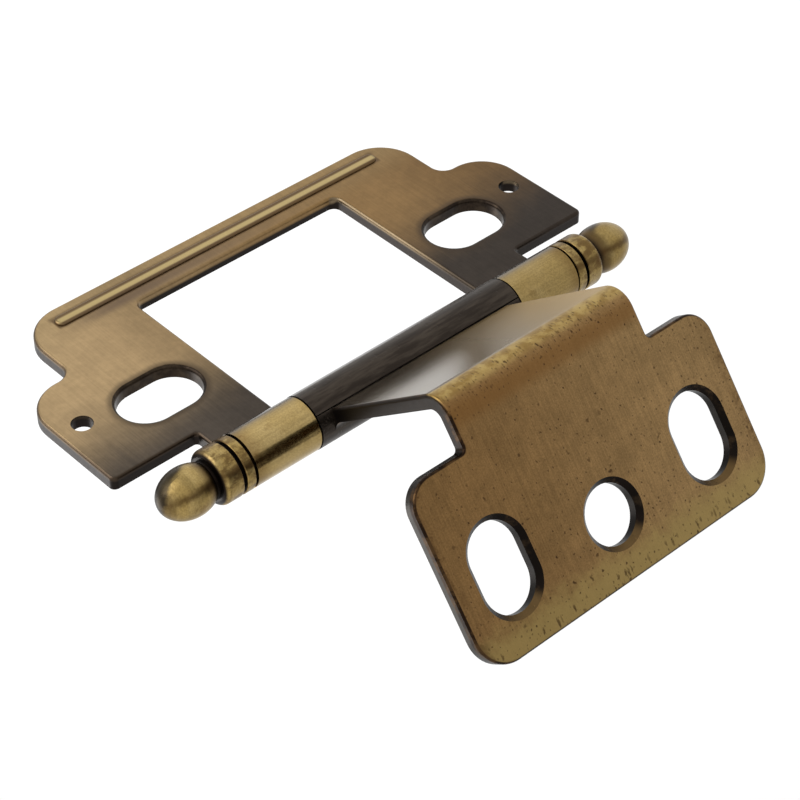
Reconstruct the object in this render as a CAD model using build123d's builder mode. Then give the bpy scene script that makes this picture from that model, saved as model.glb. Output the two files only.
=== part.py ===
from build123d import *
import os
from math import cos, radians, sin

# Inset cabinet hinge, in millimetres.
# X runs from the cabinet stile towards the door, Y runs into the cabinet and Z runs up along the pin.
# The origin is midway between the two frame screw slots, on the face that lies against the stile.

# Sheet and pin
sheet = 1.6
pin_diameter = 3.2
grip_clearance = 0.02
running_clearance = 0.05
pin_chamfer = 0.3

# Barrel, measured along the pin
middle_knuckle_length = 29.8
knuckle_end_gap = 0.2
leg_width = 8.65
seam_gap = 0.12
axis_above_frame_leaf = 0.6
frame_curl_bend = 1.2
door_curl_bend = 2.0

# Frame leaf, with depths measured from the pin axis into the cabinet
frame_leaf_length = 69.85
frame_leaf_depth = 34.35
ear_front_depth = 7.1
ear_back_depth = 23.8
ear_reach = 7.05
window_border = 5.35
ear_front_radius = 0.7
ear_back_radius = 4.9
ear_inner_radius = 1.8
body_corner_radius = 5.3
window_corner_radius = 1.1
notch_radius = 0.5
frame_slot_depth = 14.7
frame_slot_from_window = 7.7
frame_slot_length = 10.3
frame_slot_width = 6.9
frame_slot_roll = 0.45
nail_hole_depth = 16.4
nail_hole_from_end = 3.025
nail_hole_diameter = 2.5
rib_from_edge = 2.55
rib_from_side = 3.875
rib_width = 1.75
rib_height = 0.3
rib_round = 0.29
rib_groove_width = 1.0
rib_groove_height = 0.25

# Door leaf, with heights measured down the flange from the pin axis
web_above_axis = 0.5
web_width = 26.3
web_reach = 24.2
bend_inner_radius = 1.2
shoulder_drop = 6.0
flange_drop = 27.0
flange_width = 42.8
flange_top_radius = 3.1
flange_bottom_radius = 4.0
shoulder_radius = 0.6
door_slot_from_side = 6.8
door_slot_from_bottom = 8.85
door_slot_length = 9.9
door_slot_width = 6.7
door_hole_from_bottom = 7.1
door_hole_diameter = 6.6
door_countersink = 0.6
rolled_edge = 0.4
opened_angle = 142.0

# Finials, with lengths measured outwards from the sleeve's end
finial_groove_depth = 0.5
inner_groove_width = 0.3
narrow_ring_width = 1.15
outer_groove_width = 0.45
wide_ring_width = 2.4
wide_ring_round = 0.75
ring_edge_round = 0.12
neck_width = 0.4
neck_diameter = 4.6
tip_diameter = 5.75
tip_length = 7.4
tip_sink = 1.5
socket_length = 3.4
socket_end_gap = 0.2

# How near two places lie when they count as one
nearness = 0.001

# Places and radii that follow from the sizes above
pin_radius = pin_diameter / 2
sleeve_bore = pin_radius + grip_clearance
sleeve_radius = sleeve_bore + sheet
knuckle_bore = pin_radius + running_clearance
knuckle_radius = knuckle_bore + sheet
axis_x = sheet + axis_above_frame_leaf
axis_y = -frame_slot_depth
window_half = middle_knuckle_length / 2 + knuckle_end_gap
sleeve_end = window_half + leg_width
swing = radians(180 - opened_angle)
along_web = Vector(sin(swing), -cos(swing), 0)
pin_axis = Vector(axis_x, axis_y, 0)
web_plane = Plane(origin=pin_axis, x_dir=along_web, z_dir=(0, 0, 1))
web_half = web_width / 2
bend_outer_radius = bend_inner_radius + sheet
flange_plane = Plane(origin=pin_axis + along_web * web_reach, x_dir=(0, 0, 1), z_dir=along_web)


def corners(points, places):
    """The sketch's vertices that lie at the given places."""
    return [p for p in points for x, y in places if abs(p.X - x) < nearness and abs(p.Y - y) < nearness]


def frame_y(depth):
    """Row Y of a place on the frame leaf that lies this deep behind the pin axis."""
    return axis_y + depth


def on_visible_side(edge):
    """Whether an edge of the door leaf borders the side that faces away from the door."""
    place = web_plane.to_local_coords(edge.center())
    at_web_top = abs(place.Y - web_above_axis) < nearness
    at_web_side = abs(abs(place.Z) - web_half) < nearness
    on_bend = edge.geom_type == GeomType.CIRCLE and abs(edge.radius - bend_outer_radius) < nearness
    on_flange = abs(place.X - web_reach) < nearness
    across_bend = abs(place.Z) < nearness and place.Y > -shoulder_drop
    return (at_web_top and at_web_side) or on_bend or (on_flange and not across_bend)


os.makedirs("parts", exist_ok=True)

# Frame leaf: a flat stamped plate whose two legs curl round the pin.
ear_half = frame_leaf_length / 2
body_half = ear_half - ear_reach
ear_front = frame_y(ear_front_depth)
ear_back = frame_y(ear_back_depth)
outer_edge = frame_y(frame_leaf_depth)
window_far = outer_edge - window_border
slot_z = window_half + frame_slot_from_window
nail_y = frame_y(nail_hole_depth)
nail_z = ear_half - nail_hole_from_end
rib_y = outer_edge - rib_from_edge
rib_length = 2 * (body_half - rib_from_side)
curl_end = frame_y(sleeve_radius + frame_curl_bend)

with BuildPart() as frame_leaf:
    with BuildSketch(Plane.YZ) as plate_outline:
        with BuildLine():
            half = Polyline(
                (outer_edge, 0),
                (outer_edge, body_half),
                (ear_back, body_half),
                (ear_back, ear_half),
                (ear_front, ear_half),
                (ear_front, sleeve_end),
                (axis_y, sleeve_end),
                (axis_y, 0),
            )
            mirror(half, about=Plane.XZ)
        make_face()
        for radius, y, z in [
            (body_corner_radius, outer_edge, body_half),
            (ear_inner_radius, ear_back, body_half),
            (ear_back_radius, ear_back, ear_half),
            (ear_front_radius, ear_front, ear_half),
            (notch_radius, ear_front, sleeve_end),
        ]:
            fillet(corners(plate_outline.vertices(), [(y, z), (y, -z)]), radius)
    extrude(amount=sheet)
    with BuildSketch(Plane.YZ) as window:
        with Locations(((axis_y + window_far) / 2, 0)):
            Rectangle(window_far - axis_y, 2 * window_half)
        far_corners = [(window_far, window_half), (window_far, -window_half)]
        fillet(corners(window.vertices(), far_corners), window_corner_radius)
    extrude(amount=sheet, mode=Mode.SUBTRACT)
    front_edges = frame_leaf.faces().sort_by(Axis.X)[-1].edges()
    fillet([e for e in front_edges if e.center().Y > axis_y + nearness], rolled_edge)
    with BuildSketch(Plane.YZ):
        with Locations((0, slot_z), (0, -slot_z)):
            SlotOverall(frame_slot_length, frame_slot_width, rotation=90)
    extrude(amount=sheet, mode=Mode.SUBTRACT)
    slot_rims = frame_leaf.faces().filter_by(Axis.X).sort_by(Axis.X)[-1].inner_wires()
    fillet([e for rim in slot_rims for e in rim.edges()], frame_slot_roll)
    with BuildSketch(Plane.YZ):
        with Locations((nail_y, nail_z), (nail_y, -nail_z)):
            Circle(nail_hole_diameter / 2)
    extrude(amount=sheet, mode=Mode.SUBTRACT)
    # The pressed rib stands up on the visible face and leaves a groove in the back.
    with BuildSketch(Plane.YZ.offset(sheet)):
        with Locations((rib_y, 0)):
            SlotOverall(rib_length, rib_width, rotation=90)
    extrude(amount=rib_height)
    fillet(frame_leaf.faces().sort_by(Axis.X)[-1].edges(), rib_round)
    with BuildSketch(Plane.YZ):
        with Locations((rib_y, 0)):
            SlotOverall(rib_length - rib_width + rib_groove_width, rib_groove_width, rotation=90)
    extrude(amount=rib_groove_height, mode=Mode.SUBTRACT)
    # Each leg dips behind the plate, curls round the pin and comes back to a narrow seam above the plate.
    for side in (1, -1):
        with BuildSketch(Plane.XY.offset(side * window_half)) as curl:
            with Locations((axis_x, axis_y)):
                Circle(sleeve_radius)
            with Locations((sheet / 2 + sleeve_radius, axis_y + sleeve_radius)):
                Rectangle(2 * sleeve_radius, 2 * sleeve_radius, mode=Mode.SUBTRACT)
            with Locations((sheet / 4, (axis_y + curl_end) / 2)):
                Rectangle(sheet / 2, curl_end - axis_y)
            behind = [v for v in curl.vertices() if abs(v.X) < nearness]
            fillet([v for v in behind if axis_y + nearness < v.Y < curl_end - nearness], frame_curl_bend)
            with Locations((axis_x, axis_y)):
                Circle(sleeve_radius)
            with Locations((sheet + seam_gap / 2, axis_y + sleeve_radius)):
                Rectangle(seam_gap, 2 * sleeve_radius, mode=Mode.SUBTRACT)
        extrude(amount=side * leg_width)
    with Locations(pin_axis):
        Cylinder(sleeve_bore, 2 * sleeve_end, mode=Mode.SUBTRACT)

frame_leaf.part.label = "frame_leaf"
export_step(frame_leaf.part, "parts/frame_leaf.step")

# Door leaf: one sheet that curls round the pin, runs out as a web and folds down into the screw flange.
web_low = web_above_axis - sheet
fold_end = shoulder_drop + flange_top_radius
wing_half = flange_width / 2
door_slot_z = wing_half - door_slot_from_side
door_slot_drop = flange_drop - door_slot_from_bottom
door_hole_drop = flange_drop - door_hole_from_bottom
root_end = knuckle_radius + door_curl_bend
across_sheet = Axis(pin_axis, along_web)

with BuildPart() as door_leaf:
    with BuildSketch(web_plane) as folded_sheet:
        with BuildLine():
            Polyline(
                (0, web_above_axis),
                (web_reach, web_above_axis),
                (web_reach, -fold_end),
                (web_reach - sheet, -fold_end),
                (web_reach - sheet, web_low),
                (0, web_low),
                close=True,
            )
        make_face()
        fillet(corners(folded_sheet.vertices(), [(web_reach, web_above_axis)]), bend_outer_radius)
        fillet(corners(folded_sheet.vertices(), [(web_reach - sheet, web_low)]), bend_inner_radius)
    extrude(amount=web_half, both=True)
    with BuildSketch(flange_plane) as wing:
        with Locations((0, (shoulder_drop + flange_drop) / 2)):
            Rectangle(flange_width, flange_drop - shoulder_drop)
        for radius, drop in [(flange_top_radius, shoulder_drop), (flange_bottom_radius, flange_drop)]:
            fillet(corners(wing.vertices(), [(wing_half, drop), (-wing_half, drop)]), radius)
    extrude(amount=-sheet)
    through_sheet = door_leaf.edges().filter_by(across_sheet)
    full_sheet = [e for e in through_sheet if abs(e.length - sheet) < nearness]
    fillet([e for e in full_sheet if abs(abs(e.center().Z) - web_half) < nearness], shoulder_radius)
    fillet([e for e in door_leaf.edges() if on_visible_side(e)], rolled_edge)
    with BuildSketch(flange_plane):
        with Locations((door_slot_z, door_slot_drop), (-door_slot_z, door_slot_drop)):
            SlotOverall(door_slot_length, door_slot_width, rotation=90)
        with Locations((0, door_hole_drop)):
            Circle(door_hole_diameter / 2)
    extrude(amount=-sheet, mode=Mode.SUBTRACT)
    flange_front = door_leaf.faces().filter_by(across_sheet).sort_by(across_sheet)[-1]
    chamfer([e for rim in flange_front.inner_wires() for e in rim.edges()], door_countersink)
    # The curl leaves the web from below and comes round to a narrow seam above it.
    with BuildSketch(web_plane) as knuckle:
        Circle(knuckle_radius)
        with Locations((knuckle_radius, web_above_axis + seam_gap / 2)):
            Rectangle(2 * knuckle_radius, seam_gap, mode=Mode.SUBTRACT)
    extrude(amount=middle_knuckle_length / 2, both=True)
    with BuildSketch(web_plane) as root:
        Circle(knuckle_radius)
        with Locations((0, web_low + sheet / 2 + knuckle_radius)):
            Rectangle(2 * knuckle_radius, 2 * knuckle_radius, mode=Mode.SUBTRACT)
        with Locations((root_end / 2, web_low + sheet / 4)):
            Rectangle(root_end, sheet / 2)
        under = [v for v in root.vertices() if abs(v.Y - web_low) < nearness]
        fillet([v for v in under if nearness < v.X < root_end - nearness], door_curl_bend)
    extrude(amount=web_half, both=True)
    with Locations(pin_axis):
        Cylinder(knuckle_bore, middle_knuckle_length, mode=Mode.SUBTRACT)

door_leaf.part.label = "door_leaf"
export_step(door_leaf.part, "parts/door_leaf.step")

# Hinge pin: a plain rod through all three knuckles, its ends inside the finials.
with BuildPart() as hinge_pin:
    with Locations(pin_axis):
        Cylinder(pin_radius, 2 * (sleeve_end + socket_length))
    chamfer(hinge_pin.edges().filter_by(GeomType.CIRCLE), pin_chamfer)

hinge_pin.part.label = "hinge_pin"
export_step(hinge_pin.part, "parts/hinge_pin.step")

# Finials: turned tips that sit on the sleeve ends and grip the pin.
ring_radius = sleeve_radius
groove_radius = ring_radius - finial_groove_depth
neck_radius = neck_diameter / 2
narrow_ring_start = inner_groove_width
narrow_ring_stop = narrow_ring_start + narrow_ring_width
wide_ring_start = narrow_ring_stop + outer_groove_width
wide_ring_stop = wide_ring_start + wide_ring_width
tip_start = wide_ring_stop + neck_width
tip_centre = tip_start - tip_sink + tip_length / 2

for name, side in (("finial_top", 1), ("finial_bottom", -1)):
    seat = pin_axis + Vector(0, 0, side * sleeve_end)
    turning_plane = Plane(origin=seat, x_dir=(1, 0, 0), z_dir=(0, -side, 0))
    with BuildPart() as finial:
        with BuildSketch(turning_plane) as turning:
            with BuildLine():
                Polyline(
                    (0, 0),
                    (groove_radius, 0),
                    (groove_radius, narrow_ring_start),
                    (ring_radius, narrow_ring_start),
                    (ring_radius, narrow_ring_stop),
                    (groove_radius, narrow_ring_stop),
                    (groove_radius, wide_ring_start),
                    (ring_radius, wide_ring_start),
                    (ring_radius, wide_ring_stop),
                    (neck_radius, wide_ring_stop),
                    (neck_radius, tip_start),
                    (0, tip_start),
                    close=True,
                )
            make_face()
            ring_edges = [(ring_radius, s) for s in (narrow_ring_start, narrow_ring_stop, wide_ring_start)]
            fillet(corners(turning.vertices(), ring_edges), ring_edge_round)
            fillet(corners(turning.vertices(), [(ring_radius, wide_ring_stop)]), wide_ring_round)
            with Locations((0, tip_centre)):
                Ellipse(tip_diameter / 2, tip_length / 2)
            with Locations((-tip_diameter / 2, tip_centre)):
                Rectangle(tip_diameter, tip_length, mode=Mode.SUBTRACT)
        revolve(axis=Axis(pin_axis, (0, 0, side)))
        with BuildSketch(Plane(origin=seat, z_dir=(0, 0, side))):
            Circle(sleeve_bore)
        extrude(amount=socket_length + socket_end_gap, mode=Mode.SUBTRACT)
    finial.part.label = name
    export_step(finial.part, f"parts/{name}.step")
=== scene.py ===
import math

import bpy
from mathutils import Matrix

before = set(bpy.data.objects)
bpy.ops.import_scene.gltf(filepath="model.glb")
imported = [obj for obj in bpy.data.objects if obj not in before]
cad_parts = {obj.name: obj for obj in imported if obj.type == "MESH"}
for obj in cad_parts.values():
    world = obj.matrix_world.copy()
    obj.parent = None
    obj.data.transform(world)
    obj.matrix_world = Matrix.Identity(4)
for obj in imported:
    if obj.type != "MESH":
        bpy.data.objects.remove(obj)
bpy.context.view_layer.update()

# Millimetres in a metre
MILLIMETRES = 1000.0

# Pin axis in the CAD frame, and how far the door leaf stands turned about it, in millimetres and degrees
PIN_X = 2.2
PIN_Y = -14.7
DOOR_TURN = 52.0

# Frame leaf, in millimetres from the pin axis
SLEEVE_RADIUS = 3.25
RIB_PLACE = 31.8
RIB_HALF = 0.875
RIB_END = 24.0
RIB_CREST = (-0.52, -0.34)
SILL_PLACE = 29.4
SILL_ENDS = (26.0, 16.0)
SILL_RUN = (-16.0, 14.0)
SLOT_DEPTH = 14.7
SLOT_PLACE = 22.8
SLOT_RUN = 1.7
SLOT_HALF = 3.45
NAIL_DEPTH = 16.4
NAIL_PLACE = 31.9
NAIL_RIM_SQUARED = (2.2, 1.6)
WALL_LEVEL = (-0.8, -1.25)
BAR_DEPTH = (20.0, 24.0)

# Where the frame leaf's colours change, along the pin or into the cabinet
LOWER_END = (-34.0, -17.0)
UPPER_END = (-14.0, 32.0)
PLATE_RUN = (-30.0, 30.0)
BAR_GLOW = (27.0, 34.0)
OXIDE_DEPTH = (22.0, 8.0)
WINDOW_REACH = (23.0, 16.0)
UPPER_HALF = (4.0, 14.0)
UPPER_EAR = (20.0, 24.0)
LOWER_WINDOW_EDGE = (-13.0, -14.5)
LEG_DEPTH = (7.0, 19.0)
SLEEVE_END = (21.6, 23.8)
SLEEVE_BACK = (0.1, 2.2)
LOWER_HALF = (5.0, -5.0)

# Door leaf, in millimetres from the pin axis and down from the web's top
WEB_TOP = 0.5
FLANGE_FACE = 24.2
FLANGE_FOOT = WEB_TOP + 27.0
FLANGE_RUN = (18.0, -18.0)
FLANGE_DROP = (3.4, 24.4)
FLANGE_SIDE = (19.4, 21.0)
HOLES_REACH = (19.8, 19.2)
HOLES_TOP = 9.0
HOLES_FOOT = 25.6
WING_EDGE = (20.2, 20.9)
BEND_HIGHLIGHT = (1.6, 0.5)
BEND_SHADE = (1.7, 4.0)
BEND_PITS = (0.3, 3.2)
BEND_GRIT = (0.3, 2.4)
HEM_START = (2.0, 2.8)
STAIN_START = (6.0, 8.0)
WALL_STAIN = (1.0, 1.8)
WEB_LEVEL = (0.6, 0.1)
WEB_KNUCKLE_REFLECTION = (15.0, 5.0)
WEB_GILT = (5.0, -19.0)

# Finials, in millimetres along or across the pin, and the direction of the side that carries their painted
# dark reflection
NECK_START = (28.1, 28.3)
TIP_START = 28.45
TIP_BROWN = (32.8, 34.0)
STREAK_END = (34.6, 32.6)
STREAK_WIDTH = (-0.5, 0.35)
STREAK_SIDE = (0.0, 0.6)
REFLECTION_SIDE = (0.2, 0.73, 0.65)

# How far a surface has turned, as the part of its normal along one axis
SLOT_ROLL = (0.995, 0.93)
NAIL_BORE = (0.9, 0.5)
UPPER_ROLL = (0.985, 0.8)
LOWER_ROLL = (0.99, 0.85)
LOWER_ROLL_SIDE = (0.05, 0.3)
PLATE_WALL = (0.75, 0.35)
BAR_WALL = (-0.4, -0.9)
FLANGE_OUTSIDE = (0.05, 0.2)
FLANGE_ROLL = (0.985, 0.85)
HOLE_LIP = (0.42, 0.66)
END_WALL = (0.5, 0.85)
WEB_FACE = (0.97, 0.999)

# Stage, light and camera, in metres, watts and degrees, with the lens in millimetres
FLOOR_DROP = -0.16
FLOOR_HALF = 4.0
FLOOR_SHADE = 0.95
FLOOR_ROUGHNESS = 0.9
FLOOR_GLOW = 0.07
AMBIENT = 0.55
LAMP_SIZE = 0.5
KEY_PLACE = (0.45, 0.35, 0.45)
KEY_TARGET = (0.0, 0.0, 0.0)
KEY_POWER = 3.4
FILL_PLACE = (-0.4, 0.5, 0.5)
FILL_TARGET = (-0.15, 0.15, -0.16)
FILL_POWER = 2.2
LENS = 107.43
SENSOR_WIDTH = 36.0
CLIP_START = 0.01
CLIP_END = 20.0
CAMERA_PLACE = (0.17056, -0.160646, 0.136467)
CAMERA_TURN = (-40.70294, 47.36949, -89.57258)


def tone(red, green, blue):
    """Linear colour of a screen colour given in 0 to 255."""
    def linear(value):
        part = value / 255
        return part / 12.92 if part <= 0.04045 else ((part + 0.055) / 1.055) ** 2.4
    return (linear(red), linear(green), linear(blue), 1.0)


class Finish:
    """A procedural material on a CAD node, measured in millimetres from the pin axis."""

    def __init__(self, name, turn=0.0):
        self.material = bpy.data.materials.new(name)
        self.material.use_nodes = True
        tree = self.material.node_tree
        self.nodes = tree.nodes
        self.links = tree.links
        self.shader = self.nodes["Principled BSDF"]
        place = self.add("ShaderNodeTexCoord")
        here = self.vector("MULTIPLY", place.outputs["Object"], (MILLIMETRES,) * 3)
        here = self.vector("SUBTRACT", here, (PIN_X, PIN_Y, 0.0))
        facing = place.outputs["Normal"]
        if turn:
            here = self.turned(here, turn)
            facing = self.turned(facing, turn)
        self.here = here
        self.x, self.y, self.z = self.parts(here)
        self.facing_x, self.facing_y, self.facing_z = self.parts(facing)
        self.across = self.calc("ABSOLUTE", self.z)
        self.radius = self.calc("SQRT", self.squares(self.x, self.y))

    def add(self, kind, **settings):
        node = self.nodes.new(kind)
        for key, value in settings.items():
            setattr(node, key, value)
        return node

    def feed(self, socket, value):
        """Links a socket to another node's output, or sets its value."""
        if isinstance(value, bpy.types.NodeSocket):
            self.links.new(value, socket)
        else:
            socket.default_value = value

    def vector(self, operation, first, second):
        node = self.add("ShaderNodeVectorMath", operation=operation)
        self.feed(node.inputs[0], first)
        self.feed(node.inputs[1], second)
        return node.outputs["Vector"]

    def turned(self, vector, angle):
        node = self.add("ShaderNodeVectorRotate", rotation_type="Z_AXIS")
        self.feed(node.inputs["Vector"], vector)
        node.inputs["Angle"].default_value = math.radians(angle)
        return node.outputs["Vector"]

    def parts(self, vector):
        node = self.add("ShaderNodeSeparateXYZ")
        self.feed(node.inputs[0], vector)
        return node.outputs[0], node.outputs[1], node.outputs[2]

    def joined(self, first, second):
        node = self.add("ShaderNodeCombineXYZ")
        self.feed(node.inputs[0], first)
        self.feed(node.inputs[1], second)
        return node.outputs[0]

    def calc(self, operation, *values, clamp=False):
        node = self.add("ShaderNodeMath", operation=operation, use_clamp=clamp)
        for socket, value in zip(node.inputs, values):
            self.feed(socket, value)
        return node.outputs[0]

    def squares(self, first, second):
        """The sum of two squares."""
        return self.calc("ADD", self.calc("MULTIPLY", first, first), self.calc("MULTIPLY", second, second))

    def share(self, mask, amount):
        """A mask that reaches only amount where it was one."""
        return self.calc("MULTIPLY", mask, amount)

    def stray(self, value, noise, reach):
        """The value, moved up and down by a noise over reach."""
        return self.calc("MULTIPLY_ADD", self.calc("SUBTRACT", noise, 0.5), reach, value)

    def varied(self, noise, base, spread):
        """A value that the noise moves from base by up to spread."""
        return self.calc("MULTIPLY_ADD", noise, spread, base)

    def step(self, value, low, high, start=0.0, end=1.0):
        """Goes smoothly from start at low to end at high."""
        node = self.add("ShaderNodeMapRange", interpolation_type="SMOOTHSTEP")
        self.feed(node.inputs["Value"], value)
        node.inputs["From Min"].default_value = low
        node.inputs["From Max"].default_value = high
        node.inputs["To Min"].default_value = start
        node.inputs["To Max"].default_value = end
        return node.outputs[0]

    def band(self, value, low, high, soft):
        """One between low and high, fading out over soft on both sides."""
        rise = self.step(value, low - soft, low + soft)
        fall = self.step(value, high + soft, high - soft)
        return self.calc("MULTIPLY", rise, fall)

    def both(self, *masks):
        """One where every mask is one."""
        result = masks[0]
        for mask in masks[1:]:
            result = self.calc("MULTIPLY", result, mask)
        return result

    def either(self, *masks):
        """The largest of the masks."""
        result = masks[0]
        for mask in masks[1:]:
            result = self.calc("MAXIMUM", result, mask)
        return result

    def unless(self, mask):
        return self.calc("SUBTRACT", 1.0, mask)

    def grain(self, stretch, detail=4.0, roughness=0.6):
        """Noise of 0 to 1 whose size along each axis is one over stretch, in millimetres."""
        node = self.add("ShaderNodeTexNoise")
        self.feed(node.inputs["Vector"], self.vector("MULTIPLY", self.here, stretch))
        node.inputs["Scale"].default_value = 1.0
        node.inputs["Detail"].default_value = detail
        node.inputs["Roughness"].default_value = roughness
        return node.outputs[0]

    def set_noise(self, cloud, mottle, fine):
        """The three noises that most colours share, from the widest to the finest."""
        self.cloud = self.grain(cloud, detail=3.0)
        self.mottle = self.grain(mottle, detail=5.0, roughness=0.65)
        self.fine = self.grain(fine, detail=5.0)

    def specks(self, across, size, chance, spread, wobble=0.35):
        """Small uneven marks about size apart on the surface that across spans, of which some are there."""
        first = self.calc("DIVIDE", across[0], size[0])
        second = self.calc("DIVIDE", across[1], size[1])
        spot_place = self.joined(first, second)
        stir = self.add("ShaderNodeTexNoise", noise_dimensions="2D")
        self.feed(stir.inputs["Vector"], spot_place)
        stir.inputs["Scale"].default_value = 2.6
        shift = self.vector("SUBTRACT", stir.outputs["Color"], (0.5,) * 3)
        shift = self.vector("MULTIPLY", shift, (wobble,) * 3)
        node = self.add("ShaderNodeTexVoronoi", feature="F1", voronoi_dimensions="2D")
        self.feed(node.inputs["Vector"], self.vector("ADD", spot_place, shift))
        node.inputs["Scale"].default_value = 1.0
        lot, girth, strength = self.parts(node.outputs["Color"])
        reach = self.calc("MULTIPLY_ADD", girth, spread, 0.05)
        near = self.calc("DIVIDE", node.outputs["Distance"], reach)
        spot = self.step(near, 1.0, 0.45)
        there = self.calc("LESS_THAN", lot, chance)
        return self.both(spot, there, self.calc("MULTIPLY_ADD", strength, 0.6, 0.4))

    def blend(self, mask, under, over):
        """The colour over where the mask is one, and the colour under elsewhere."""
        node = self.add("ShaderNodeMix", data_type="RGBA")
        self.feed(node.inputs[0], mask)
        self.feed(node.inputs[6], under)
        self.feed(node.inputs[7], over)
        return node.outputs[2]

    def darken(self, colour, mask, amount):
        """Multiplies the colour down by amount where the mask is one."""
        node = self.add("ShaderNodeMix", data_type="RGBA", blend_type="MULTIPLY")
        self.feed(node.inputs[0], mask)
        self.feed(node.inputs[6], colour)
        node.inputs[7].default_value = (amount, amount, amount, 1.0)
        return node.outputs[2]

    def grained(self, colour):
        """The colour with a fine dark grain."""
        grit = self.grain((5.0,) * 3, detail=3.0)
        return self.darken(colour, self.step(grit, 0.6, 0.4), 0.82)

    def bump(self, height, depth, under=None):
        """Raises the surface by depth, in millimetres, where the height is one."""
        node = self.add("ShaderNodeBump")
        node.inputs["Distance"].default_value = depth / MILLIMETRES
        self.feed(node.inputs["Height"], height)
        if under is not None:
            self.feed(node.inputs["Normal"], under)
        return node.outputs["Normal"]

    def finish(self, colour, roughness, normal, metallic):
        self.feed(self.shader.inputs["Base Color"], colour)
        self.feed(self.shader.inputs["Roughness"], roughness)
        self.feed(self.shader.inputs["Normal"], normal)
        self.feed(self.shader.inputs["Metallic"], metallic)
        return self.material


def plate_colour(f, brush):
    """Tan brass that turns to brown oxide towards the barrel and browner towards the lower end."""
    tan = f.blend(f.step(f.z, *LOWER_END), tone(112, 86, 53), tone(137, 108, 69))
    tan = f.blend(f.step(f.z, *UPPER_END), tan, tone(174, 148, 109))
    tan = f.blend(f.share(f.step(f.y, *BAR_GLOW), 0.45), tan, tone(160, 138, 98))
    oxide = f.blend(f.step(f.z, *PLATE_RUN), tone(56, 49, 43), tone(78, 70, 62))
    drift = f.calc("MULTIPLY_ADD", f.z, 0.06, f.y)
    drift = f.stray(drift, f.cloud, 6.0)
    drift = f.stray(drift, brush, 1.5)
    colour = f.blend(f.step(drift, *OXIDE_DEPTH), tan, oxide)
    colour = f.darken(colour, f.step(brush, 0.64, 0.36), 0.91)
    colour = f.darken(colour, f.step(f.mottle, 0.62, 0.38), 0.9)
    colour = f.darken(colour, f.step(f.fine, 0.6, 0.4), 0.94)
    return f.darken(colour, f.both(f.step(f.across, *WINDOW_REACH), f.step(f.z, *UPPER_HALF)), 0.8)


def rib_colour(f, colour, on_rib):
    """A worn crest on the rib, stain along its sides and a darker strip beside the window."""
    behind = f.band(f.y, RIB_PLACE + 0.5, RIB_PLACE + 1.2, 0.28)
    behind = f.both(behind, f.step(f.across, RIB_END + 0.6, RIB_END))
    stain = f.either(f.share(on_rib, 0.8), f.share(behind, 0.62))
    colour = f.blend(stain, colour, tone(84, 65, 45))
    crest = f.both(f.step(f.x, *RIB_CREST), f.band(f.y, RIB_PLACE - 0.5, RIB_PLACE + 0.22, 0.16))
    crest = f.both(crest, f.step(f.across, RIB_END, RIB_END - 0.5))
    colour = f.blend(crest, colour, tone(172, 152, 105))
    sill = f.both(f.band(f.y, SILL_PLACE, RIB_PLACE - RIB_HALF, 0.7), f.step(f.across, *SILL_ENDS))
    sill = f.both(sill, f.step(f.z, *SILL_RUN, 0.1, 0.75))
    return f.blend(sill, colour, tone(96, 79, 66))


def plate_hole_colour(f, colour, upright, from_slot, by_slot):
    """Dark rolled rims round the two slots and in the nail holes."""
    halo = f.step(from_slot, SLOT_HALF + 1.25, SLOT_HALF + 0.4, 0.0, 0.6)
    colour = f.blend(halo, colour, tone(58, 48, 39))
    roll = f.both(by_slot, f.step(upright, *SLOT_ROLL))
    roll_tone = f.blend(f.step(f.mottle, 0.4, 0.65), tone(34, 28, 24), tone(58, 49, 40))
    colour = f.blend(f.share(roll, 0.95), colour, roll_tone)
    from_nail = f.squares(f.calc("SUBTRACT", f.across, NAIL_PLACE), f.calc("SUBTRACT", f.y, NAIL_DEPTH))
    by_nail = f.both(f.step(from_nail, *NAIL_RIM_SQUARED), f.step(upright, *NAIL_BORE))
    return f.blend(by_nail, colour, tone(16, 13, 11))


def plate_edge_colour(f, colour, upright, on_rib, by_slot, barrel):
    """Stained rolls and dark walls along the plate's cut edges."""
    plain = f.unless(by_slot)
    upper_roll = f.both(f.step(upright, *UPPER_ROLL), f.step(f.z, *UPPER_EAR), plain, f.unless(on_rib))
    colour = f.blend(f.share(upper_roll, 0.85), colour, tone(62, 51, 41))
    lower_roll = f.both(f.step(upright, *LOWER_ROLL), f.step(f.z, *LOWER_WINDOW_EDGE))
    lower_roll = f.both(lower_roll, f.step(f.facing_z, *LOWER_ROLL_SIDE), plain)
    roll_tone = f.blend(f.step(f.y, *LEG_DEPTH), tone(54, 47, 40), tone(112, 97, 76))
    colour = f.blend(lower_roll, colour, roll_tone)
    bar_lift = f.both(f.step(f.facing_y, *BAR_WALL, 0.0, 0.36), f.step(f.y, *BAR_DEPTH))
    level = f.calc("ADD", f.x, bar_lift)
    wall = f.both(f.step(upright, *PLATE_WALL), f.unless(barrel), f.step(level, *WALL_LEVEL))
    return f.blend(f.both(wall, plain, f.unless(on_rib)), colour, tone(34, 29, 26))


def sleeve_colour(f, around):
    """Bright brass with smudges, dark on the side that faces the plate."""
    gold = f.blend(f.step(f.cloud, 0.35, 0.65), tone(168, 143, 90), tone(182, 158, 107))
    gold = f.darken(gold, f.step(around, 0.64, 0.36), 0.86)
    gold = f.grained(gold)
    smudge = f.share(f.step(f.across, *SLEEVE_END), 0.55)
    smudge = f.calc("ADD", smudge, f.step(f.mottle, 0.56, 0.7, 0.0, 0.4), clamp=True)
    gold = f.blend(smudge, gold, tone(112, 86, 48))
    gold = f.darken(gold, f.step(f.z, *LOWER_HALF), 0.82)
    return f.blend(f.step(f.y, *SLEEVE_BACK), gold, tone(62, 55, 47))


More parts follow.
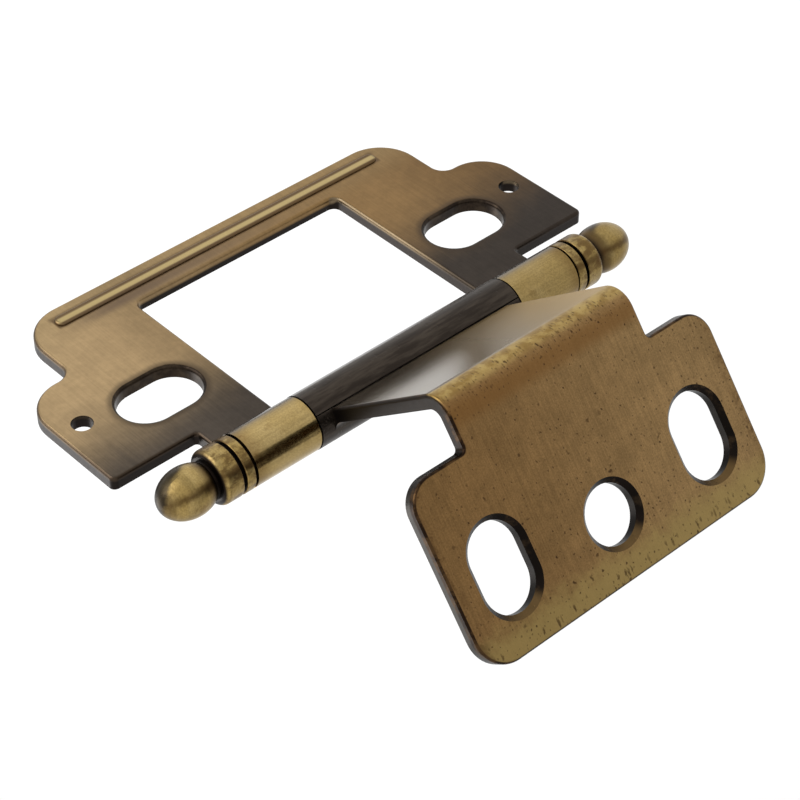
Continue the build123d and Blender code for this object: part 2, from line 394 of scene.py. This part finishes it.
def frame_leaf_finish():
    """Brushed antique brass on the plate and bright sleeves round the pin."""
    f = Finish("frame_leaf_brass")
    f.set_noise(cloud=(0.12,) * 3, mottle=(0.5,) * 3, fine=(1.6,) * 3)
    brush = f.grain((2.0, 0.07, 3.6), roughness=0.7)
    around = f.grain((3.0, 3.0, 0.1), roughness=0.7)
    upright = f.calc("ABSOLUTE", f.facing_x)
    barrel = f.step(f.radius, SLEEVE_RADIUS + 0.55, SLEEVE_RADIUS + 0.1)
    from_rib = f.calc("ABSOLUTE", f.calc("SUBTRACT", f.y, RIB_PLACE))
    on_rib = f.step(from_rib, RIB_HALF + 0.45, RIB_HALF - 0.15)
    on_rib = f.both(on_rib, f.step(f.across, RIB_END + 0.3, RIB_END))
    past_middle = f.calc("ABSOLUTE", f.calc("SUBTRACT", f.across, SLOT_PLACE))
    past_run = f.calc("MAXIMUM", f.calc("SUBTRACT", past_middle, SLOT_RUN), 0.0)
    from_slot = f.calc("SQRT", f.squares(f.calc("SUBTRACT", f.y, SLOT_DEPTH), past_run))
    by_slot = f.step(from_slot, SLOT_HALF + 1.0, SLOT_HALF + 0.35)

    colour = plate_colour(f, brush)
    colour = rib_colour(f, colour, on_rib)
    colour = plate_hole_colour(f, colour, upright, from_slot, by_slot)
    colour = plate_edge_colour(f, colour, upright, on_rib, by_slot, barrel)
    colour = f.blend(barrel, colour, sleeve_colour(f, around))

    rough = f.varied(f.fine, base=0.28, spread=0.16)
    rough = f.varied(barrel, base=rough, spread=-0.16)
    normal = f.bump(f.blend(barrel, brush, around), depth=0.005)
    grit = f.calc("MULTIPLY", f.fine, f.step(barrel, 0.0, 1.0, 1.0, 0.3))
    normal = f.bump(grit, depth=0.004, under=normal)
    return f.finish(colour, rough, normal, 1.0)


def flange_colour(f, brush, drop, side):
    """Brown brass with a painted yellow highlight on the bend, a painted shade below it and an olive foot.
    """
    brown = f.blend(side, tone(138, 106, 66), tone(156, 126, 84))
    brown = f.darken(brown, f.step(f.cloud, 0.62, 0.38), 0.9)
    brown = f.darken(brown, f.step(brush, 0.6, 0.4), 0.84)
    brown = f.darken(brown, f.step(f.mottle, 0.6, 0.4), 0.88)
    brown = f.grained(brown)
    # Painted shade in a band below the bend.
    brown = f.blend(f.share(f.band(drop, *BEND_SHADE, 0.9), 0.7), brown, tone(116, 82, 44))
    # A painted yellow highlight along the bend, mottled.
    strip = f.blend(f.step(f.mottle, 0.4, 0.62), tone(134, 108, 60), tone(164, 140, 86))
    brown = f.blend(f.step(drop, *BEND_HIGHLIGHT), brown, strip)
    foot = f.step(f.stray(drop, f.mottle, 5.0), FLANGE_FOOT - 4.8, FLANGE_FOOT - 1.4)
    return f.blend(f.share(foot, 0.7), brown, tone(148, 128, 78))


def flange_marks(f, drop, side):
    """Pits all over the flange, grit along the bend and blots along the foot."""
    face = (f.z, drop)
    chance = f.calc("MULTIPLY_ADD", side, 0.2, f.step(drop, *FLANGE_DROP, 0.26, 0.55))
    chance = f.calc("MULTIPLY_ADD", f.band(drop, *BEND_PITS, 0.6), 0.35, chance)
    small = f.specks(face, (0.7, 0.8), chance, 0.17)
    large = f.specks(face, (1.9, 2.1), 0.25, 0.1)
    grit = f.both(f.band(drop, *BEND_GRIT, 0.5), f.specks(face, (0.4, 0.6), 0.75, 0.34, 0.6))
    foot = f.step(drop, FLANGE_FOOT - 2.3, FLANGE_FOOT - 1.0)
    blots = f.both(foot, f.specks(face, (0.5, 1.4), 0.6, 0.42, 0.7))
    return f.either(small, large, grit, blots)


def hem_colour(f, in_hole):
    """The stained roll along the flange's edges, and the rims of its holes."""
    hem = f.blend(f.step(f.mottle, 0.42, 0.62), tone(34, 24, 17), tone(72, 53, 33))
    rim = f.blend(f.step(f.mottle, 0.5, 0.72), tone(26, 21, 18), tone(70, 55, 38))
    hem = f.blend(in_hole, hem, rim)
    return f.blend(f.both(in_hole, f.step(f.facing_y, *HOLE_LIP)), hem, tone(96, 76, 48))


def inner_colour(f, brush):
    """The dark, mottled side that lies on the door: unrelieved brass, painted darker still as the shade
    that falls on it.
    """
    # Dark unrelieved brass, darkened further as painted shade.
    inner = f.blend(f.step(f.mottle, 0.36, 0.66), tone(40, 27, 15), tone(62, 44, 26))
    inner = f.darken(inner, f.step(f.cloud, 0.6, 0.4), 0.8)
    inner = f.darken(inner, f.step(brush, 0.62, 0.38), 0.8)
    worn = f.both(f.step(f.cloud, 0.5, 0.66), f.step(f.fine, 0.5, 0.68))
    return f.blend(f.share(worn, 0.5), inner, tone(104, 80, 50))


def web_colour(f, streaky, gilt):
    """Streaked metal, with a painted reflection of the dark knuckle beside the knuckle, and more golden
    towards the lower end.
    """
    web = f.blend(f.step(streaky, 0.36, 0.62), tone(98, 87, 70), tone(118, 106, 86))
    # A painted reflection of the dark knuckle on the web beside it.
    knuckle_reflection = f.step(f.stray(f.x, streaky, 10.0), *WEB_KNUCKLE_REFLECTION, 0.0, 0.8)
    web = f.blend(knuckle_reflection, web, tone(60, 53, 45))
    return f.blend(gilt, web, tone(166, 140, 94))


def door_wall_colour(f, drop, in_hole, hem):
    """The dark cut walls of the door leaf, stained near the flange's face."""
    wall = f.blend(f.step(f.across, *WING_EDGE), tone(30, 26, 23), tone(62, 60, 57))
    wall = f.blend(in_hole, wall, tone(18, 16, 14))
    near_face = f.step(f.x, FLANGE_FACE - 1.0, FLANGE_FACE - 0.7)
    near_face = f.both(near_face, f.step(drop, *WALL_STAIN), f.unless(in_hole))
    return f.blend(near_face, wall, hem)


def door_leaf_finish():
    """Brown brass flange with pits, a painted yellow highlight on the ridge at the bend, a glossy web and a
    dark knuckle.
    """
    f = Finish("door_leaf_brass", DOOR_TURN)
    f.set_noise(cloud=(0.14,) * 3, mottle=(0.6,) * 3, fine=(1.8,) * 3)
    brush = f.grain((0.12, 0.12, 5.0), roughness=0.7)
    streaky = f.grain((4.0, 2.0, 0.12), roughness=0.65)
    scratch = f.grain((1.4, 1.4, 0.16), detail=5.0, roughness=0.65)
    drop = f.calc("SUBTRACT", WEB_TOP, f.y)
    side = f.step(f.z, *FLANGE_RUN)
    knuckle = f.step(f.radius, SLEEVE_RADIUS + 0.6, SLEEVE_RADIUS + 0.15)
    outer = f.step(f.facing_x, *FLANGE_OUTSIDE)
    web = f.both(f.step(f.facing_y, *WEB_FACE), f.step(drop, *WEB_LEVEL))
    in_hole = f.both(f.step(f.across, *HOLES_REACH), f.band(drop, HOLES_TOP, HOLES_FOOT, 0.3))
    gilt = f.stray(f.calc("MULTIPLY_ADD", f.x, -0.25, f.z), streaky, 12.0)
    gilt = f.step(gilt, *WEB_GILT)
    marks = flange_marks(f, drop, side)
    hem_tone = hem_colour(f, in_hole)

    brown = flange_colour(f, brush, drop, side)
    brown = f.blend(f.share(marks, 0.85), brown, tone(58, 40, 24))
    edge_stain = f.both(f.step(f.across, *FLANGE_SIDE), f.step(f.mottle, 0.46, 0.62))
    edge_stain = f.both(edge_stain, f.step(drop, *STAIN_START))
    brown = f.blend(f.share(edge_stain, 0.6), brown, tone(72, 50, 29))
    hem = f.both(f.step(f.facing_x, *FLANGE_ROLL), f.step(drop, *HEM_START))
    brown = f.blend(hem, brown, hem_tone)
    colour = f.blend(outer, inner_colour(f, brush), brown)
    colour = f.blend(web, colour, web_colour(f, streaky, gilt))
    at_flange = f.both(f.unless(outer), f.step(f.x, FLANGE_FACE - 1.62, FLANGE_FACE - 1.5))
    wall = f.either(f.step(f.calc("ABSOLUTE", f.facing_z), *END_WALL), at_flange)
    colour = f.blend(f.share(wall, 0.95), colour, door_wall_colour(f, drop, in_hole, hem_tone))
    dark = f.blend(f.step(scratch, 0.38, 0.64), tone(48, 42, 37), tone(66, 59, 52))
    colour = f.blend(knuckle, colour, dark)

    rough = f.varied(f.fine, base=0.3, spread=0.16)
    smooth = f.varied(streaky, base=0.08, spread=0.16)
    smooth = f.varied(gilt, base=smooth, spread=0.3)
    rough = f.calc("MULTIPLY_ADD", web, f.calc("SUBTRACT", smooth, rough), rough)
    even = f.both(f.unless(web), f.unless(knuckle))
    normal = f.bump(f.calc("MULTIPLY", brush, even), depth=0.004)
    normal = f.bump(f.calc("MULTIPLY", f.unless(marks), outer), depth=0.02, under=normal)
    normal = f.bump(f.calc("MULTIPLY", f.fine, f.unless(web)), depth=0.003, under=normal)
    metallic = f.step(f.both(web, f.unless(gilt)), 0.0, 1.0, 1.0, 0.6)
    return f.finish(colour, rough, normal, metallic)


def finial_colour(f, turned):
    """Bright turned brass, browner at the tip and at the lower end of the hinge."""
    gold = f.blend(f.step(f.cloud, 0.35, 0.65), tone(162, 137, 82), tone(182, 158, 104))
    gold = f.darken(gold, f.step(turned, 0.64, 0.36), 0.84)
    gold = f.grained(gold)
    gold = f.blend(f.step(f.mottle, 0.54, 0.7, 0.0, 0.5), gold, tone(108, 82, 46))
    gold = f.darken(gold, f.step(f.z, *LOWER_HALF), 0.85)
    end = f.stray(f.across, f.mottle, 1.6)
    return f.blend(f.step(end, *TIP_BROWN, 0.0, 0.6), gold, tone(84, 65, 40))


def finial_stain(f, colour):
    """Painted dark reflection on one side of the tip, oxide at its root, a painted brown reflection along
    one streak, and tarnish on the rings with painted shade on one side.
    """
    # A painted dark reflection covers the side of each tip that faces this direction, with a mottled edge.
    toward_reflection = f.calc("MULTIPLY", f.facing_z, REFLECTION_SIDE[2])
    toward_reflection = f.calc("MULTIPLY_ADD", f.facing_y, REFLECTION_SIDE[1], toward_reflection)
    toward_reflection = f.calc("MULTIPLY_ADD", f.facing_x, REFLECTION_SIDE[0], toward_reflection)
    toward_reflection = f.stray(toward_reflection, f.mottle, 0.3)
    painted_dark_reflection = f.both(f.step(toward_reflection, 0.26, 0.56), f.step(f.across, TIP_START + 0.3, TIP_START + 0.6))
    colour = f.blend(f.share(painted_dark_reflection, 0.92), colour, tone(36, 32, 27))
    root = f.both(f.step(f.across, TIP_START + 1.9, TIP_START + 0.4), f.step(f.across, *NECK_START))
    colour = f.blend(root, colour, tone(92, 74, 46))
    # A painted brown reflection along one streak of each tip.
    streak = f.calc("MULTIPLY_ADD", f.x, 0.8, f.calc("MULTIPLY", f.y, 0.6))
    streak = f.band(f.stray(streak, f.mottle, 1.4), *STREAK_WIDTH, 0.4)
    streak = f.both(streak, f.step(f.x, *STREAK_SIDE), f.step(f.across, *STREAK_END))
    colour = f.blend(f.share(streak, 0.8), colour, tone(72, 52, 28))
    # Tarnish on the rings, with painted shade on the same side as the dark reflection.
    on_rings = f.step(f.across, TIP_START, TIP_START - 0.4)
    ring_tarnish_and_shade = f.both(f.step(toward_reflection, 0.3, 0.7), on_rings)
    colour = f.blend(f.share(ring_tarnish_and_shade, 0.7), colour, tone(70, 52, 34))
    blotch = f.grain((0.9, 0.9, 0.5), detail=5.0, roughness=0.7)
    ring_stain = f.both(f.step(blotch, 0.44, 0.6, 0.0, 0.7), on_rings)
    return f.blend(ring_stain, colour, tone(84, 62, 36))


def finial_finish():
    """Turned brass with tarnish, painted dark and brown reflections on the tips, and black oxide left in
    the grooves and the neck.
    """
    f = Finish("finial_brass")
    f.set_noise(cloud=(0.3,) * 3, mottle=(0.8, 0.8, 0.5), fine=(2.0,) * 3)
    turned = f.grain((0.25, 0.25, 5.0), roughness=0.7)
    colour = finial_stain(f, finial_colour(f, turned))
    before_tip = f.step(f.across, TIP_START + 0.2, TIP_START)
    groove = f.both(before_tip, f.step(f.radius, SLEEVE_RADIUS - 0.12, SLEEVE_RADIUS - 0.4))
    neck = f.step(f.across, TIP_START + 0.6, TIP_START - 0.1)
    neck = f.both(neck, f.step(f.across, TIP_START - 0.5, TIP_START - 0.3))
    colour = f.blend(f.either(groove, f.share(neck, 0.9)), colour, tone(30, 24, 20))
    rough = f.varied(f.fine, base=0.27, spread=0.14)
    normal = f.bump(turned, depth=0.006)
    normal = f.bump(f.fine, depth=0.003, under=normal)
    return f.finish(colour, rough, normal, 1.0)


def pin_finish():
    """Drawn steel with faint lengthwise marks."""
    f = Finish("pin_steel")
    fine = f.grain((1.5,) * 3, detail=5.0)
    drawn = f.grain((4.0, 4.0, 0.1))
    colour = f.blend(f.step(fine, 0.35, 0.65), tone(120, 116, 110), tone(152, 148, 142))
    colour = f.darken(colour, f.step(drawn, 0.62, 0.4), 0.8)
    rough = f.varied(fine, base=0.25, spread=0.2)
    return f.finish(colour, rough, f.bump(drawn, depth=0.004), 1.0)


def dress(node, material):
    """Gives a CAD node its finish."""
    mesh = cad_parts[node].data
    if mesh.materials:
        for place in range(len(mesh.materials)):
            mesh.materials[place] = material
    else:
        mesh.materials.append(material)


def placed(name, data):
    """A new object in the scene."""
    made = bpy.data.objects.new(name, data)
    bpy.context.scene.collection.objects.link(made)
    return made


def lamp(name, place, target, power):
    """A soft square lamp at place that faces target, in metres and watts."""
    light = bpy.data.lights.new(name, "AREA")
    light.shape = "SQUARE"
    light.size = LAMP_SIZE
    light.energy = power
    made = placed(name, light)
    made.location = place
    aim = made.location.copy()
    aim.x, aim.y, aim.z = target[0] - place[0], target[1] - place[1], target[2] - place[2]
    made.rotation_euler = aim.to_track_quat("-Z", "Y").to_euler()
    made.visible_camera = False


def seen_directly(tree, unseen, seen):
    """The value seen for camera, glossy and transmission rays, and unseen for light on other things."""
    path = tree.nodes.new("ShaderNodeLightPath")
    total = path.outputs["Is Camera Ray"]
    for kind in ("Is Glossy Ray", "Is Transmission Ray"):
        either = tree.nodes.new("ShaderNodeMath")
        either.operation = "MAXIMUM"
        tree.links.new(total, either.inputs[0])
        tree.links.new(path.outputs[kind], either.inputs[1])
        total = either.outputs[0]
    level = tree.nodes.new("ShaderNodeMapRange")
    tree.links.new(total, level.inputs["Value"])
    level.inputs["To Min"].default_value = unseen
    level.inputs["To Max"].default_value = seen
    return level.outputs[0]


def make_floor():
    """A plain pale floor below the part, which hangs by its screws."""
    mesh = bpy.data.meshes.new("floor")
    corners = [(-1, -1), (1, -1), (1, 1), (-1, 1)]
    points = [(x * FLOOR_HALF, y * FLOOR_HALF, FLOOR_DROP) for x, y in corners]
    mesh.from_pydata(points, [], [(0, 1, 2, 3)])
    material = bpy.data.materials.new("pale_floor")
    material.use_nodes = True
    tree = material.node_tree
    shader = tree.nodes["Principled BSDF"]
    shader.inputs["Base Color"].default_value = (FLOOR_SHADE, FLOOR_SHADE, FLOOR_SHADE, 1.0)
    shader.inputs["Roughness"].default_value = FLOOR_ROUGHNESS
    shader.inputs["Specular IOR Level"].default_value = 0.0
    shader.inputs["Emission Color"].default_value = (1.0, 1.0, 1.0, 1.0)
    tree.links.new(seen_directly(tree, 0.0, FLOOR_GLOW), shader.inputs["Emission Strength"])
    mesh.materials.append(material)
    floor = placed("floor", mesh)


def make_world():
    """White behind the part and in its reflections, and a plain level of light from all round."""
    world = bpy.data.worlds.new("studio")
    bpy.context.scene.world = world
    world.use_nodes = True
    tree = world.node_tree
    background = tree.nodes["Background"]
    background.inputs["Color"].default_value = (1.0, 1.0, 1.0, 1.0)
    tree.links.new(seen_directly(tree, AMBIENT, 1.0), background.inputs["Strength"])


def make_camera():
    """The photograph's viewpoint."""
    data = bpy.data.cameras.new("camera")
    data.lens = LENS
    data.sensor_width = SENSOR_WIDTH
    data.clip_start = CLIP_START
    data.clip_end = CLIP_END
    camera = placed("camera", data)
    camera.location = CAMERA_PLACE
    camera.rotation_euler = [math.radians(turn) for turn in CAMERA_TURN]
    bpy.context.scene.camera = camera


make_camera()
make_floor()
make_world()
lamp("key", KEY_PLACE, KEY_TARGET, KEY_POWER)
lamp("fill", FILL_PLACE, FILL_TARGET, FILL_POWER)

dress("frame_leaf", frame_leaf_finish())
dress("door_leaf", door_leaf_finish())
turned_brass = finial_finish()
dress("finial_top", turned_brass)
dress("finial_bottom", turned_brass)
dress("hinge_pin", pin_finish())

bpy.context.scene.view_settings.view_transform = "Standard"
